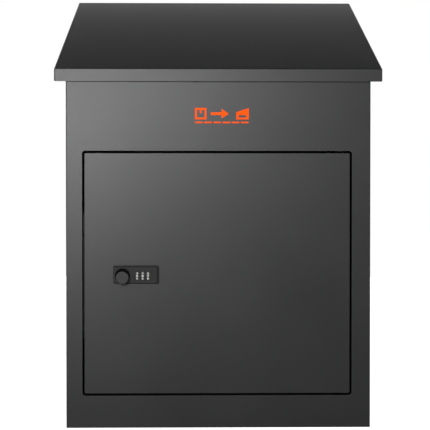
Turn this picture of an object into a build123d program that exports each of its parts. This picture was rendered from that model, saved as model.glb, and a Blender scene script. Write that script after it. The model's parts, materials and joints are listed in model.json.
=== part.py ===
"""Parcel drop box: a welded sheet-steel cabinet with a sloping drop lid on top, a collection door in
front with a three-dial combination lock, and an anti-theft baffle that the lid drives through two links.

Millimetres, +Z up, front towards -Y, +X to the right of someone facing the front. The origin is the
centre of the floor anchor holes, on the underside of the floor panel."""

import os
from math import atan2, cos, degrees, radians, sin

from build123d import *

# ---- Cabinet
SHEET = 1.2
HALF_WIDTH = 206.0
FRONT_FACE = -172.5
REAR_FACE = 167.5
BEND_RADIUS = 1.8
FRONT_RETURN = 20.0
REAR_FLANGE = 14.0
REAR_RETURN_DROP = 22.0
FLOOR_FLANGE = 16.0
MAT_HEIGHT = 3.0
INNER_X = HALF_WIDTH - SHEET
FRONT_INNER = FRONT_FACE + SHEET
REAR_INNER = REAR_FACE - SHEET

# ---- Lid
LID_HALF_WIDTH = 221.1
LID_FRONT = -178.5
LID_REAR = 164.0
LID_TOP_REAR = 629.0
LID_TOP_FRONT = 485.3
LID_LIP = 17.1
LIP_RETURN = 3.5
LID_BEND = 2.0
RIM_DROP = 11.5
RIM_WIDTH = 11.8
RIM_REAR = 150.0
BUMPER = (196.0, FRONT_FACE + 7.5)
BUMPER_R = 4.5
SEAL_FRONT = -144.0
SEAL_WIDTH = 8.0
SEAL_X = 195.0
SEAL_CLEARANCE = 0.4
STIFFENER_PLACE = -185.0
STIFFENER_HALF = 14.0
STIFFENER_FOOT = 14.0
STIFFENER_DEPTH = 12.0
STIFFENER_LENGTH = 300.0
SLOPE = atan2(LID_TOP_REAR - LID_TOP_FRONT, LID_REAR - LID_FRONT)
LID_OPENING = 80.0

# ---- Lid hinge
HINGE_Y = 157.5
KNUCKLE_R = 2.8
HINGE_PIN_R = 1.5
RUNNING_GAP = 0.05
HINGE_LENGTH = 350.0
KNUCKLES = 15
KNUCKLE_GAP = 0.4
LEAF = 1.2
LEAF_REACH = 24.0
LID_RISE = 3.0
RETURN_Y = HINGE_Y + KNUCKLE_R
HINGE_RIVETS = [-150.0, -75.0, 0.0, 75.0, 150.0]
HINGE_RIVET_R = 1.95
RIVET_HEAD_R = 3.6
RIVET_HEAD = 1.0

# ---- Door and its opening
OPENING_X = (-184.2, 180.9)
OPENING_Z = (43.5, 375.0)
OPENING_RADIUS = 4.0
FRAME_DEPTH = 18.0
DOOR_GAP = 3.0
DOOR_DEPTH = 16.0
DOOR_X = (OPENING_X[0] + DOOR_GAP, OPENING_X[1] - DOOR_GAP)
DOOR_Z = (OPENING_Z[0] + DOOR_GAP, OPENING_Z[1] - DOOR_GAP)
PIVOT = (DOOR_X[1] - 9.0, FRONT_FACE + 6.0)
PIVOT_R = 2.5
BUSH_WALL = 2.0
BUSH_LENGTH = 5.0
BLOCK_HEIGHT = 14.0
DOOR_STIFFENER_X = 20.0
KEEPER_Y = FRONT_FACE + FRAME_DEPTH
KEEPER_SHEET = 2.0
KEEPER_Z = (120.0, 290.0)

# ---- Baffle and its linkage
BAFFLE_AXIS = (HINGE_Y, 400.0)
BAFFLE_LENGTH = 300.0
BAFFLE_HALF_WIDTH = 180.0
BAFFLE_SHEET = 1.5
SHAFT_R = 4.0
ARM = 45.0
ARM_ANGLE = radians(40.0)
ARM_PLATE = 2.0
LINK_X = 183.0
LINK_PIN_R = 3.0
LINK_R = 7.0
PIN_HEAD = 2.0
OPEN_PIVOT_GAP = 0.35
TIGHT_GAP = 0.02
BLOCK_X = 12.0
STUD_Y = BAFFLE_AXIS[0] - 9.0
STUDS_Z = (BAFFLE_AXIS[1] - 11.0, BAFFLE_AXIS[1] + 11.0)
STUD_R = 2.0
PLATE_OFFSET = 4.0
PLATE_FLANGE = 8.5
PLATE_TOP = 9.0
ARM_RIVETS = (25.0, 50.0)
ARM_RIVET_R = 1.95
ARM_LEG = 60.0
RIVET_LINE = -0.3
CRANK_TAB = (84.0, 132.0)
CRANK_FOOT = 14.0

# ---- Combination lock
PLATE_X = (-142.0, -80.9)
PLATE_Z = (195.7, 219.8)
PLATE_FRONT = FRONT_FACE - 3.0
COVER_X = (PLATE_X[0] + 0.5, PLATE_X[1] - 1.8)
COVER_Z = (PLATE_Z[0] + 0.5, PLATE_Z[1] - 1.7)
COVER_FRONT = PLATE_FRONT - 1.2
KNOB = (-129.2, 204.0)
KNOB_R = 8.5
COLLAR = (-129.5, 206.6)
COLLAR_R = 9.9
COLLAR_FRONT = COVER_FRONT - 3.0
KNOB_BACK = COLLAR_FRONT - 0.4
KNOB_FRONT = KNOB_BACK - 6.0
KNOB_DISH_R = 6.4
KEY_PLUG_R = 3.2
SPINDLE_R = 4.0
SQUARE = 5.6
DIAL_X = (-109.8, -102.45, -95.1)
DIAL_Z = 206.1
DIAL_Y = FRONT_FACE + 1.6
DIAL_R = 6.5
DIAL_WIDTH = 4.6
WINDOW_HALF = 5.4
DIAL_BAY_X = (DIAL_X[0] - 3.6, DIAL_X[2] + 3.6)
DIAL_BAY_Z = (DIAL_Z - 7.2, DIAL_Z + 7.2)
DIAL_BAY_DEPTH = 9.5
AXLE_R = 1.25
AXLE_X = (DIAL_X[0] - 6.0, DIAL_X[2] + 6.0)
HOUSING_X = (-137.5, -85.4)
HOUSING_Z = (198.3, 215.9)
HOUSING_REAR = FRONT_FACE + 18.5
HOUSING_FIT = 0.25
SCREWS_X = ((PLATE_X[0] + 2.4, -1), (PLATE_X[1] - 2.4, 1))
SCREW_R = 1.45
CLAMP_REAR = FRONT_INNER + 1.5
RESET_X = -98.0
RESET_R = 2.0
CAM_Y = FRONT_FACE + 20.6
CAM_SHEET = 2.5
CAM_LENGTH = 62.0
CAM_HALF_WIDTH = 8.0

# ---- Sign above the door
BADGE = (4.5, 422.0)
BADGE_FILM = 0.4

# ---- Fixing holes
FLOOR_HOLES = (300.0, 220.0)
FLOOR_HOLE_R = 5.0
WALL_HOLES = (300.0, 300.0)
WALL_HOLE_R = 4.5
WALL_HOLES_Z = 380.0

SIDES = {"left": -1, "right": 1}


def lid_top(y):
    """Height of the lid's top surface at depth y."""
    return LID_TOP_FRONT + (y - LID_FRONT) * (LID_TOP_REAR - LID_TOP_FRONT) / (LID_REAR - LID_FRONT)


def lid_under(y):
    """Height of the lid's underside at depth y."""
    return lid_top(y) - SHEET / cos(SLOPE)


def rim_top(y):
    """Height of the cabinet's rim, which runs below the lid and parallel to it."""
    return lid_top(y) - RIM_DROP


HINGE_Z = lid_under(HINGE_Y) - LID_RISE / cos(SLOPE)
REAR_TOP = HINGE_Z - 6.2
RIM_END = LID_FRONT + (REAR_TOP + RIM_DROP - LID_TOP_FRONT) * (LID_REAR - LID_FRONT) / (
    LID_TOP_REAR - LID_TOP_FRONT
)
RIVET_Z = REAR_TOP - 12.0
CRANK_PIN = (HINGE_Y - ARM * cos(ARM_ANGLE), HINGE_Z - ARM * sin(ARM_ANGLE))
ARM_PIN = (BAFFLE_AXIS[0] - ARM * cos(ARM_ANGLE), BAFFLE_AXIS[1] - ARM * sin(ARM_ANGLE))

# Plane of the hanging baffle: local Y runs up along the plate to the shaft, local Z faces the front.
HANG = radians(LID_OPENING)
BAFFLE_PLANE = Plane(
    origin=(0, BAFFLE_AXIS[0], BAFFLE_AXIS[1]), x_dir=(1, 0, 0), z_dir=(0, -sin(HANG), cos(HANG))
)
# Plane of the lid's underside above the hinge pin: local Y runs up the slope, local Z is its normal.
LID_PLANE = Plane(origin=(0, HINGE_Y, HINGE_Z), x_dir=(1, 0, 0), z_dir=(0, -sin(SLOPE), cos(SLOPE)))
DOOR_PLANE = Plane.XZ.offset(-FRONT_FACE)


def save(piece, label):
    """Label a finished piece and write its STEP file."""
    piece.part.label = label
    export_step(piece.part, f"parts/{label}.step")


def slab(x, y, z, mode=Mode.ADD):
    """Box between two corners, given as a low and a high value along each axis."""
    with Locations(((x[0] + x[1]) / 2, (y[0] + y[1]) / 2, (z[0] + z[1]) / 2)):
        Box(abs(x[1] - x[0]), abs(y[1] - y[0]), abs(z[1] - z[0]), mode=mode)


def span(side, low, high):
    """Range between two distances from the middle, on the left (-1) or the right (+1)."""
    return tuple(sorted((side * low, side * high)))


def rod_x(x, y, z, radius, mode=Mode.ADD):
    """Cylinder along X between x[0] and x[1], through the point (y, z)."""
    with Locations(Location(((x[0] + x[1]) / 2, y, z), (0, 90, 0))):
        Cylinder(radius, abs(x[1] - x[0]), mode=mode)


def rod_y(x, y, z, radius, mode=Mode.ADD):
    """Cylinder along Y between y[0] and y[1], through the point (x, z)."""
    with Locations(Location((x, (y[0] + y[1]) / 2, z), (90, 0, 0))):
        Cylinder(radius, abs(y[1] - y[0]), mode=mode)


def rod_z(x, y, z, radius, mode=Mode.ADD):
    """Cylinder along Z between z[0] and z[1], through the point (x, y)."""
    with Locations((x, y, (z[0] + z[1]) / 2)):
        Cylinder(radius, abs(z[1] - z[0]), mode=mode)


def side_profile(x, points, thickness, mode=Mode.ADD):
    """Extrude the outline of (y, z) points along X, from x by thickness."""
    with BuildSketch(Plane.YZ.offset(x)) as outline:
        with BuildLine():
            Polyline(*points, close=True)
        make_face()
    extrude(outline.sketch, amount=thickness, mode=mode)


def knuckle_span(index):
    """X range of one knuckle of the continuous hinge."""
    pitch = HINGE_LENGTH / KNUCKLES
    start = -HINGE_LENGTH / 2 + index * pitch
    return (start + KNUCKLE_GAP / 2, start + pitch - KNUCKLE_GAP / 2)


def hinge_rivet_holes():
    """Cut the row of rivet holes through the rear return and the hinge leaf on it."""
    hole_y = (RETURN_Y - 2 * LEAF, RETURN_Y + 2 * SHEET)
    for rivet_x in HINGE_RIVETS:
        rod_y(rivet_x, hole_y, RIVET_Z, HINGE_RIVET_R + 0.05, Mode.SUBTRACT)


def lock_cutouts(y):
    """Cut the lock housing's opening and its two screw holes through a sheet behind the lock."""
    slab(
        (HOUSING_X[0] - HOUSING_FIT, HOUSING_X[1] + HOUSING_FIT),
        y,
        (HOUSING_Z[0] - HOUSING_FIT, HOUSING_Z[1] + HOUSING_FIT),
        Mode.SUBTRACT,
    )
    for screw_x, _ in SCREWS_X:
        rod_y(screw_x, y, DIAL_Z, SCREW_R + 0.15, Mode.SUBTRACT)


def seal_outline(front, rear):
    """Foam strip on the sloping rim between two depths, just short of the lid."""
    return [
        (front, rim_top(front)),
        (rear, rim_top(rear)),
        (rear, lid_under(rear) - SEAL_CLEARANCE),
        (front, lid_under(front) - SEAL_CLEARANCE),
    ]


os.makedirs("parts", exist_ok=True)

# ================================================================ Cabinet
with BuildPart() as front_panel:
    side_profile(
        -HALF_WIDTH,
        [
            (FRONT_FACE, 0),
            (FRONT_FACE + FRONT_RETURN, 0),
            (FRONT_FACE + FRONT_RETURN, rim_top(FRONT_FACE + FRONT_RETURN)),
            (FRONT_FACE, rim_top(FRONT_FACE)),
        ],
        2 * HALF_WIDTH,
    )
    corners = front_panel.edges().filter_by(Axis.Z).group_by(Axis.Y)[0]
    fillet(corners, BEND_RADIUS)
    slab((-INNER_X, INNER_X), (FRONT_INNER, 0), (-SHEET, LID_TOP_REAR), Mode.SUBTRACT)
    rim_z = (rim_top(FRONT_FACE) - SHEET, rim_top(FRONT_FACE))
    slab((-INNER_X, INNER_X), (FRONT_INNER, FRONT_INNER + RIM_WIDTH), rim_z)
    with BuildSketch(DOOR_PLANE):
        with Locations((sum(OPENING_X) / 2, sum(OPENING_Z) / 2)):
            RectangleRounded(
                OPENING_X[1] - OPENING_X[0] + 2 * SHEET,
                OPENING_Z[1] - OPENING_Z[0] + 2 * SHEET,
                OPENING_RADIUS + SHEET,
            )
    extrude(amount=-FRAME_DEPTH)
    with BuildSketch(DOOR_PLANE):
        with Locations((sum(OPENING_X) / 2, sum(OPENING_Z) / 2)):
            RectangleRounded(
                OPENING_X[1] - OPENING_X[0], OPENING_Z[1] - OPENING_Z[0], OPENING_RADIUS
            )
    extrude(amount=-FRAME_DEPTH, mode=Mode.SUBTRACT)
    bush_seat = PIVOT_R + BUSH_WALL + RUNNING_GAP
    rod_z(*PIVOT, (OPENING_Z[0] - 2 * SHEET, OPENING_Z[1] + 2 * SHEET), bush_seat, Mode.SUBTRACT)
save(front_panel, "front_panel")

for name, side in SIDES.items():
    with BuildPart() as side_panel:
        side_profile(
            min(side * INNER_X, side * HALF_WIDTH),
            [
                (FRONT_FACE + FRONT_RETURN, 0),
                (REAR_FACE, 0),
                (REAR_FACE, REAR_TOP),
                (RIM_END, REAR_TOP),
                (FRONT_FACE + FRONT_RETURN, rim_top(FRONT_FACE + FRONT_RETURN)),
            ],
            SHEET,
        )
        side_profile(
            min(side * INNER_X, side * (INNER_X - RIM_WIDTH)),
            [
                (FRONT_FACE + FRONT_RETURN, rim_top(FRONT_FACE + FRONT_RETURN)),
                (RIM_REAR, rim_top(RIM_REAR)),
                (RIM_REAR, rim_top(RIM_REAR) - SHEET),
                (FRONT_FACE + FRONT_RETURN, rim_top(FRONT_FACE + FRONT_RETURN) - SHEET),
            ],
            RIM_WIDTH,
        )
        for stud_z in STUDS_Z:
            rod_x(span(side, INNER_X - BLOCK_X - 5, INNER_X), STUD_Y, stud_z, STUD_R)
    save(side_panel, f"{name}_side_panel")

with BuildPart() as rear_panel:
    slab((-INNER_X, INNER_X), (REAR_INNER, REAR_FACE), (0, REAR_TOP))
    slab((-INNER_X + 2, INNER_X - 2), (RETURN_Y, REAR_INNER), (REAR_TOP - SHEET, REAR_TOP))
    slab((-INNER_X + 2, INNER_X - 2), (RETURN_Y, RETURN_Y + SHEET), (REAR_TOP - REAR_RETURN_DROP, REAR_TOP))
    lower_flange = (FLOOR_FLANGE + 1, BAFFLE_AXIS[1] - 19)
    upper_flange = (BAFFLE_AXIS[1] + 19, REAR_TOP - REAR_RETURN_DROP - 3)
    for side in SIDES.values():
        for flange_z in (lower_flange, upper_flange):
            slab(span(side, INNER_X - SHEET, INNER_X), (REAR_INNER - REAR_FLANGE, REAR_INNER), flange_z)
    with Locations(Location((0, REAR_FACE, WALL_HOLES_Z), (90, 0, 0))):
        with GridLocations(*WALL_HOLES, 2, 2):
            Cylinder(WALL_HOLE_R, 5 * SHEET, mode=Mode.SUBTRACT)
    hinge_rivet_holes()
save(rear_panel, "rear_panel")

with BuildPart() as floor_panel:
    slab((-INNER_X, INNER_X), (FRONT_INNER, REAR_INNER), (0, FLOOR_FLANGE))
    slab(
        (-INNER_X + SHEET, INNER_X - SHEET),
        (FRONT_INNER + SHEET, REAR_INNER - SHEET),
        (SHEET, 2 * FLOOR_FLANGE),
        Mode.SUBTRACT,
    )
    with GridLocations(*FLOOR_HOLES, 2, 2):
        Cylinder(FLOOR_HOLE_R, 5 * SHEET, mode=Mode.SUBTRACT)
save(floor_panel, "floor_panel")

with BuildPart() as floor_mat:
    slab((-INNER_X + 4, INNER_X - 4), (FRONT_INNER + 4, REAR_INNER - 4), (SHEET, SHEET + MAT_HEIGHT))
    with GridLocations(*FLOOR_HOLES, 2, 2):
        Cylinder(2 * FLOOR_HOLE_R + 1, 4 * MAT_HEIGHT, mode=Mode.SUBTRACT)
save(floor_mat, "floor_mat")

with BuildPart() as lid_seal:
    for side in SIDES.values():
        strip_x = min(side * SEAL_X, side * (SEAL_X + SEAL_WIDTH))
        side_profile(strip_x, seal_outline(SEAL_FRONT, RIM_REAR - 2), SEAL_WIDTH)
    front, rear = FRONT_FACE + 2.5, FRONT_FACE + 2.5 + SEAL_WIDTH
    front_strip = [
        (front, rim_top(FRONT_FACE)),
        (rear, rim_top(FRONT_FACE)),
        (rear, lid_under(rear) - SEAL_CLEARANCE),
        (front, lid_under(front) - SEAL_CLEARANCE),
    ]
    side_profile(-SEAL_X + 11, front_strip, 2 * (SEAL_X - 11))
save(lid_seal, "lid_seal")

with BuildPart() as lid_bumpers:
    for side in SIDES.values():
        bumper_z = (rim_top(FRONT_FACE), lid_under(BUMPER[1] - 4) - 0.5)
        rod_z(side * BUMPER[0], BUMPER[1], bumper_z, BUMPER_R)
save(lid_bumpers, "lid_bumpers")

with BuildPart() as door_hinge_bushes:
    for low in (OPENING_Z[0] - BUSH_LENGTH, OPENING_Z[1]):
        rod_z(*PIVOT, (low, low + BUSH_LENGTH), PIVOT_R + BUSH_WALL)
        rod_z(*PIVOT, (low, low + BUSH_LENGTH), PIVOT_R + RUNNING_GAP, Mode.SUBTRACT)
save(door_hinge_bushes, "door_hinge_bushes")

with BuildPart() as latch_keeper:
    keeper_x = OPENING_X[0] - SHEET - KEEPER_SHEET
    slab((keeper_x, keeper_x + KEEPER_SHEET), (FRONT_INNER + 1, KEEPER_Y + KEEPER_SHEET), KEEPER_Z)
    slab((keeper_x, OPENING_X[0] + 11), (KEEPER_Y, KEEPER_Y + KEEPER_SHEET), KEEPER_Z)
save(latch_keeper, "latch_keeper")

with BuildPart() as keeper_bumpers:
    for bumper_z in (KEEPER_Z[0] + 20, KEEPER_Z[1] - 20):
        rod_y(OPENING_X[0] + 6, (KEEPER_Y - 1.6, KEEPER_Y), bumper_z, BUMPER_R - 0.5)
save(keeper_bumpers, "keeper_bumpers")

with BuildPart() as baffle_bearings:
    for side in SIDES.values():
        x = span(side, INNER_X - BLOCK_X, INNER_X)
        slab(x, (BAFFLE_AXIS[0] - 15, BAFFLE_AXIS[0] + 8.5), (BAFFLE_AXIS[1] - 18, BAFFLE_AXIS[1] + 18))
        rod_x(x, *BAFFLE_AXIS, SHAFT_R + RUNNING_GAP, Mode.SUBTRACT)
        for stud_z in STUDS_Z:
            rod_x(x, STUD_Y, stud_z, STUD_R + 0.2, Mode.SUBTRACT)
save(baffle_bearings, "baffle_bearings")

with BuildPart() as bearing_nuts:
    for side in SIDES.values():
        for stud_z in STUDS_Z:
            with BuildSketch(Plane.YZ.offset(side * (INNER_X - BLOCK_X))):
                with Locations((STUD_Y, stud_z)):
                    RegularPolygon(2 * STUD_R, 6)
                    Circle(STUD_R + RUNNING_GAP, mode=Mode.SUBTRACT)
            extrude(amount=-side * 1.6 * STUD_R)
save(bearing_nuts, "bearing_nuts")

# ================================================================ Lid hinge
with BuildPart() as lid_hinge_fixed_leaf:
    leaf_y = (RETURN_Y - LEAF, RETURN_Y)
    leaf_top = HINGE_Z - KNUCKLE_R - 0.5
    slab((-HINGE_LENGTH / 2, HINGE_LENGTH / 2), leaf_y, (REAR_TOP - REAR_RETURN_DROP + 2, leaf_top))
    for index in range(0, KNUCKLES, 2):
        rod_x(knuckle_span(index), HINGE_Y, HINGE_Z, KNUCKLE_R)
        slab(knuckle_span(index), leaf_y, (leaf_top, HINGE_Z))
    rod_x((-HINGE_LENGTH, HINGE_LENGTH), HINGE_Y, HINGE_Z, HINGE_PIN_R + RUNNING_GAP, Mode.SUBTRACT)
    hinge_rivet_holes()
save(lid_hinge_fixed_leaf, "lid_hinge_fixed_leaf")

with BuildPart(LID_PLANE) as lid_hinge_moving_leaf:
    leaf_edge = -KNUCKLE_R - 0.5
    slab((-HINGE_LENGTH / 2, HINGE_LENGTH / 2), (-LEAF_REACH, leaf_edge), (LID_RISE - LEAF, LID_RISE))
    for index in range(1, KNUCKLES, 2):
        rod_x(knuckle_span(index), 0, 0, KNUCKLE_R)
        slab(knuckle_span(index), (leaf_edge, 0), (LID_RISE - LEAF, KNUCKLE_R))
    rod_x((-HINGE_LENGTH, HINGE_LENGTH), 0, 0, HINGE_PIN_R + RUNNING_GAP, Mode.SUBTRACT)
save(lid_hinge_moving_leaf, "lid_hinge_moving_leaf")

with BuildPart() as lid_hinge_pin:
    rod_x((-HINGE_LENGTH / 2 - 1, HINGE_LENGTH / 2 + 1), HINGE_Y, HINGE_Z, HINGE_PIN_R)
save(lid_hinge_pin, "lid_hinge_pin")

with BuildPart() as hinge_rivets:
    front, rear = RETURN_Y - LEAF, RETURN_Y + SHEET
    for rivet_x in HINGE_RIVETS:
        rod_y(rivet_x, (front, rear), RIVET_Z, HINGE_RIVET_R)
        rod_y(rivet_x, (front - RIVET_HEAD, front), RIVET_Z, RIVET_HEAD_R)
        rod_y(rivet_x, (rear, rear + RIVET_HEAD), RIVET_Z, RIVET_HEAD_R)
    fillet(hinge_rivets.edges().filter_by(GeomType.CIRCLE).group_by(Axis.Y)[0], 0.6)
save(hinge_rivets, "hinge_rivets")

# ================================================================ Lid
with BuildPart() as lid_panel:
    side_profile(
        -LID_HALF_WIDTH,
        [
            (LID_FRONT, LID_TOP_FRONT - LID_LIP),
            (LID_FRONT, LID_TOP_FRONT),
            (LID_REAR, LID_TOP_REAR),
            (LID_REAR, LID_TOP_REAR - LID_LIP),
        ],
        2 * LID_HALF_WIDTH,
    )
    front_corners = lid_panel.edges().filter_by(Axis.Z).group_by(Axis.Y)[0]
    top_face = lid_panel.faces().filter_by(lambda face: face.normal_at().Z > 0.5)[0]
    top_bends = [edge for edge in top_face.edges() if edge.center().Y < LID_REAR - 1]
    fillet([*front_corners, *top_bends], LID_BEND)
    side_profile(
        -LID_HALF_WIDTH + SHEET,
        [
            (LID_FRONT + SHEET, LID_TOP_FRONT - 2 * LID_LIP),
            (LID_FRONT + SHEET, lid_under(LID_FRONT + SHEET)),
            (LID_REAR + 10, lid_under(LID_REAR + 10)),
            (LID_REAR + 10, LID_TOP_FRONT - 2 * LID_LIP),
        ],
        2 * (LID_HALF_WIDTH - SHEET),
        Mode.SUBTRACT,
    )
    lip_bottom = LID_TOP_FRONT - LID_LIP
    slab(
        (-LID_HALF_WIDTH + SHEET, LID_HALF_WIDTH - SHEET),
        (LID_FRONT + SHEET, LID_FRONT + LIP_RETURN),
        (lip_bottom, lip_bottom + SHEET),
    )
save(lid_panel, "lid_panel")

with BuildPart(LID_PLANE) as lid_stiffener:
    along = (-STIFFENER_LENGTH / 2, STIFFENER_LENGTH / 2)
    crown = LID_RISE - STIFFENER_DEPTH
    for side in (-1, 1):
        wall = STIFFENER_PLACE + side * STIFFENER_HALF
        slab(along, (wall, wall + side * STIFFENER_FOOT), (LID_RISE - SHEET, LID_RISE))
        slab(along, (wall - SHEET / 2, wall + SHEET / 2), (crown, LID_RISE))
    crown_half = STIFFENER_HALF + SHEET / 2
    slab(along, (STIFFENER_PLACE - crown_half, STIFFENER_PLACE + crown_half), (crown - SHEET, crown))
save(lid_stiffener, "lid_stiffener")

for name, side in SIDES.items():
    outer = BAFFLE_HALF_WIDTH + ARM_PLATE
    tab_front, tab_rear = CRANK_TAB
    with BuildPart() as lid_crank:
        with BuildSketch(Plane.YZ.offset(min(side * BAFFLE_HALF_WIDTH, side * outer))):
            with BuildLine():
                Polyline(
                    (tab_front, lid_under(tab_front)),
                    (tab_rear, lid_under(tab_rear)),
                    (tab_rear, lid_under(tab_rear) - 2 * ARM_PLATE),
                    (tab_front, lid_under(tab_front) - 2 * ARM_PLATE),
                    close=True,
                )
            make_face()
            with Locations(CRANK_PIN):
                Circle(3 * LINK_PIN_R)
            make_hull()
        extrude(amount=ARM_PLATE)
        side_profile(
            min(side * BAFFLE_HALF_WIDTH, side * (BAFFLE_HALF_WIDTH - CRANK_FOOT)),
            [
                (tab_front, lid_under(tab_front)),
                (tab_rear, lid_under(tab_rear)),
                (tab_rear, lid_under(tab_rear) - ARM_PLATE),
                (tab_front, lid_under(tab_front) - ARM_PLATE),
            ],
            CRANK_FOOT,
        )
        pin_hole = span(side, BAFFLE_HALF_WIDTH - ARM_PLATE, outer + ARM_PLATE)
        rod_x(pin_hole, *CRANK_PIN, LINK_PIN_R + TIGHT_GAP, Mode.SUBTRACT)
    save(lid_crank, f"lid_crank_{name}")

    with BuildPart() as drop_link:
        with BuildSketch(Plane.YZ.offset(min(side * LINK_X, side * (LINK_X + ARM_PLATE)))):
            for centre in (CRANK_PIN, ARM_PIN):
                with Locations(centre):
                    Circle(LINK_R)
            make_hull()
            with Locations(CRANK_PIN):
                Circle(LINK_PIN_R + RUNNING_GAP, mode=Mode.SUBTRACT)
            with Locations(ARM_PIN):
                Circle(LINK_PIN_R + OPEN_PIVOT_GAP, mode=Mode.SUBTRACT)
        extrude(amount=ARM_PLATE)
    save(drop_link, f"drop_link_{name}")

for label, centre in (("upper_link_pins", CRANK_PIN), ("lower_link_pins", ARM_PIN)):
    with BuildPart() as link_pins:
        for side in SIDES.values():
            head_x = BAFFLE_HALF_WIDTH - PIN_HEAD
            rod_x(span(side, head_x, LINK_X + ARM_PLATE + 2.5), *centre, LINK_PIN_R)
            rod_x(span(side, head_x, BAFFLE_HALF_WIDTH), *centre, LINK_PIN_R + PIN_HEAD)
    save(link_pins, label)

for label, centre in (("upper_pin_clips", CRANK_PIN), ("lower_pin_clips", ARM_PIN)):
    with BuildPart() as pin_clips:
        for side in SIDES.values():
            x = span(side, LINK_X + ARM_PLATE + 0.6, LINK_X + ARM_PLATE + 1.6)
            rod_x(x, *centre, 2 * LINK_PIN_R)
            rod_x(x, *centre, LINK_PIN_R + TIGHT_GAP, Mode.SUBTRACT)
    save(pin_clips, label)

# ================================================================ Baffle
with BuildPart(BAFFLE_PLANE) as baffle_plate:
    plate_y = (-BAFFLE_LENGTH, -PLATE_TOP)
    flange_z = (PLATE_OFFSET - PLATE_FLANGE, PLATE_OFFSET)
    slab((-BAFFLE_HALF_WIDTH, BAFFLE_HALF_WIDTH), plate_y, (PLATE_OFFSET, PLATE_OFFSET + BAFFLE_SHEET))
    for side in SIDES.values():
        x = span(side, BAFFLE_HALF_WIDTH - BAFFLE_SHEET, BAFFLE_HALF_WIDTH)
        slab(x, plate_y, flange_z)
        for reach in ARM_RIVETS:
            rod_x(x, -reach, RIVET_LINE, ARM_RIVET_R + 0.05, Mode.SUBTRACT)
    end_y = (-BAFFLE_LENGTH, -BAFFLE_LENGTH + BAFFLE_SHEET)
    slab((-BAFFLE_HALF_WIDTH, BAFFLE_HALF_WIDTH), end_y, flange_z)
save(baffle_plate, "baffle_plate")

with BuildPart(BAFFLE_PLANE) as baffle_edge_trim:
    slab((-BAFFLE_HALF_WIDTH, BAFFLE_HALF_WIDTH), (-BAFFLE_LENGTH - 3, -BAFFLE_LENGTH), (-5, 6))
    fillet(baffle_edge_trim.edges().filter_by(Axis.X).sort_by(Axis.Z)[:2], 1.2)
save(baffle_edge_trim, "baffle_edge_trim")

LEG_END = (BAFFLE_AXIS[0] - ARM_LEG * cos(HANG), BAFFLE_AXIS[1] - ARM_LEG * sin(HANG))
for name, side in SIDES.items():
    with BuildPart() as baffle_arm:
        inner_x, outer_x = side * BAFFLE_HALF_WIDTH, side * (BAFFLE_HALF_WIDTH + ARM_PLATE)
        with BuildSketch(Plane.YZ.offset(min(inner_x, outer_x))):
            with Locations(BAFFLE_AXIS):
                Circle(8.3)
            with Locations(ARM_PIN):
                Circle(8)
            with Locations(LEG_END):
                Circle(5)
            make_hull()
            with Locations(BAFFLE_AXIS):
                Circle(SHAFT_R + TIGHT_GAP, mode=Mode.SUBTRACT)
            with Locations(ARM_PIN):
                Circle(LINK_PIN_R + TIGHT_GAP, mode=Mode.SUBTRACT)
            for reach in ARM_RIVETS:
                rivet = BAFFLE_PLANE.from_local_coords((0, -reach, RIVET_LINE))
                with Locations((rivet.Y, rivet.Z)):
                    Circle(ARM_RIVET_R + 0.05, mode=Mode.SUBTRACT)
        extrude(amount=ARM_PLATE)
    save(baffle_arm, f"baffle_arm_{name}")

with BuildPart() as baffle_shaft:
    rod_x((-INNER_X + 1.5, INNER_X - 1.5), *BAFFLE_AXIS, SHAFT_R)
save(baffle_shaft, "baffle_shaft")

with BuildPart(BAFFLE_PLANE) as arm_rivets:
    flange_face = BAFFLE_HALF_WIDTH - BAFFLE_SHEET
    arm_face = BAFFLE_HALF_WIDTH + ARM_PLATE
    for side in SIDES.values():
        for reach in ARM_RIVETS:
            rod_x(span(side, flange_face - 0.9, arm_face + 0.6), -reach, RIVET_LINE, ARM_RIVET_R)
            rod_x(span(side, flange_face - 0.9, flange_face), -reach, RIVET_LINE, RIVET_HEAD_R - 0.2)
            rod_x(span(side, arm_face, arm_face + 0.6), -reach, RIVET_LINE, RIVET_HEAD_R - 0.2)
save(arm_rivets, "arm_rivets")

# ================================================================ Door
with BuildPart() as door_panel:
    slab(DOOR_X, (FRONT_FACE, FRONT_FACE + DOOR_DEPTH), DOOR_Z)
    fillet(door_panel.edges().filter_by(Axis.Y), 1.5)
    fillet(door_panel.faces().sort_by(Axis.Y)[0].edges(), 0.8)
    slab(
        (DOOR_X[0] + SHEET, DOOR_X[1] - SHEET),
        (FRONT_INNER, 0),
        (DOOR_Z[0] + SHEET, DOOR_Z[1] - SHEET),
        Mode.SUBTRACT,
    )
    rod_z(*PIVOT, (DOOR_Z[0] - 5, DOOR_Z[1] + 5), PIVOT_R + TIGHT_GAP, Mode.SUBTRACT)
    lock_cutouts((FRONT_FACE - 1, FRONT_INNER + 1))
save(door_panel, "door_panel")

with BuildPart() as door_stiffener:
    rib_z = (DOOR_Z[0] + 18, DOOR_Z[1] - 18)
    rib_back = FRONT_INNER + STIFFENER_DEPTH
    for side in (-1, 1):
        wall = DOOR_STIFFENER_X + side * STIFFENER_HALF
        slab((wall, wall + side * STIFFENER_FOOT), (FRONT_INNER, FRONT_INNER + SHEET), rib_z)
        slab((wall - SHEET / 2, wall + SHEET / 2), (FRONT_INNER, rib_back), rib_z)
    rib_half = STIFFENER_HALF + SHEET / 2
    slab((DOOR_STIFFENER_X - rib_half, DOOR_STIFFENER_X + rib_half), (rib_back - SHEET, rib_back), rib_z)
save(door_stiffener, "door_stiffener")

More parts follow.
